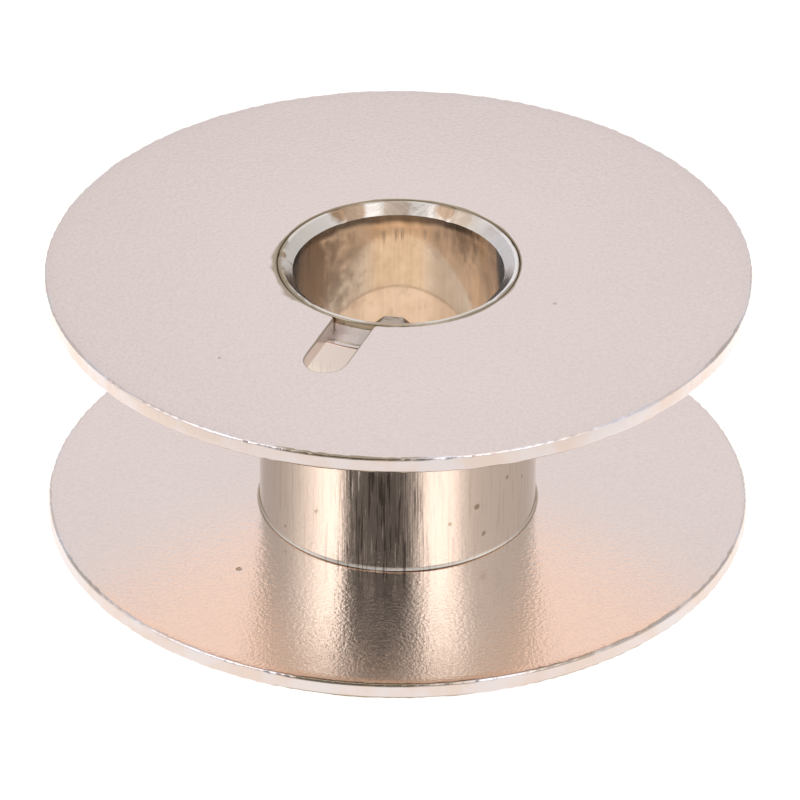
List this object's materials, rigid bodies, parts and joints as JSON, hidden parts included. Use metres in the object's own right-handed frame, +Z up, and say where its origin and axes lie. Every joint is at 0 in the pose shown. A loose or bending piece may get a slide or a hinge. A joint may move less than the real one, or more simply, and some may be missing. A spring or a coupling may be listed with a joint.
{
  "type": "sewing machine bobbin",
  "caption": "Metal thread spool: a bored hub tube staked into thin round flanges, the upper one with a radial drive slot.",
  "frame": {"origin": "centre of the bottom end, on the bobbin's axis, at the height of the lower flange's middle", "axes": "+Z up along the bobbin's axis towards the slotted flange, +X and +Y across it, the drive slot pointing 249 degrees round from +X"},
  "size_m": [0.021, 0.021, 0.0087],
  "materials": {
    "nickel": "nickel plated sheet steel, lightly pebbled shine",
    "turned_nickel": "nickel plated turned steel, fine lines along the tube, bright"
  },
  "bodies": {
    "root": {"hub_tube": "turned_nickel", "slotted_flange": "nickel", "plain_flange": "nickel"}
  },
  "joints": []
}
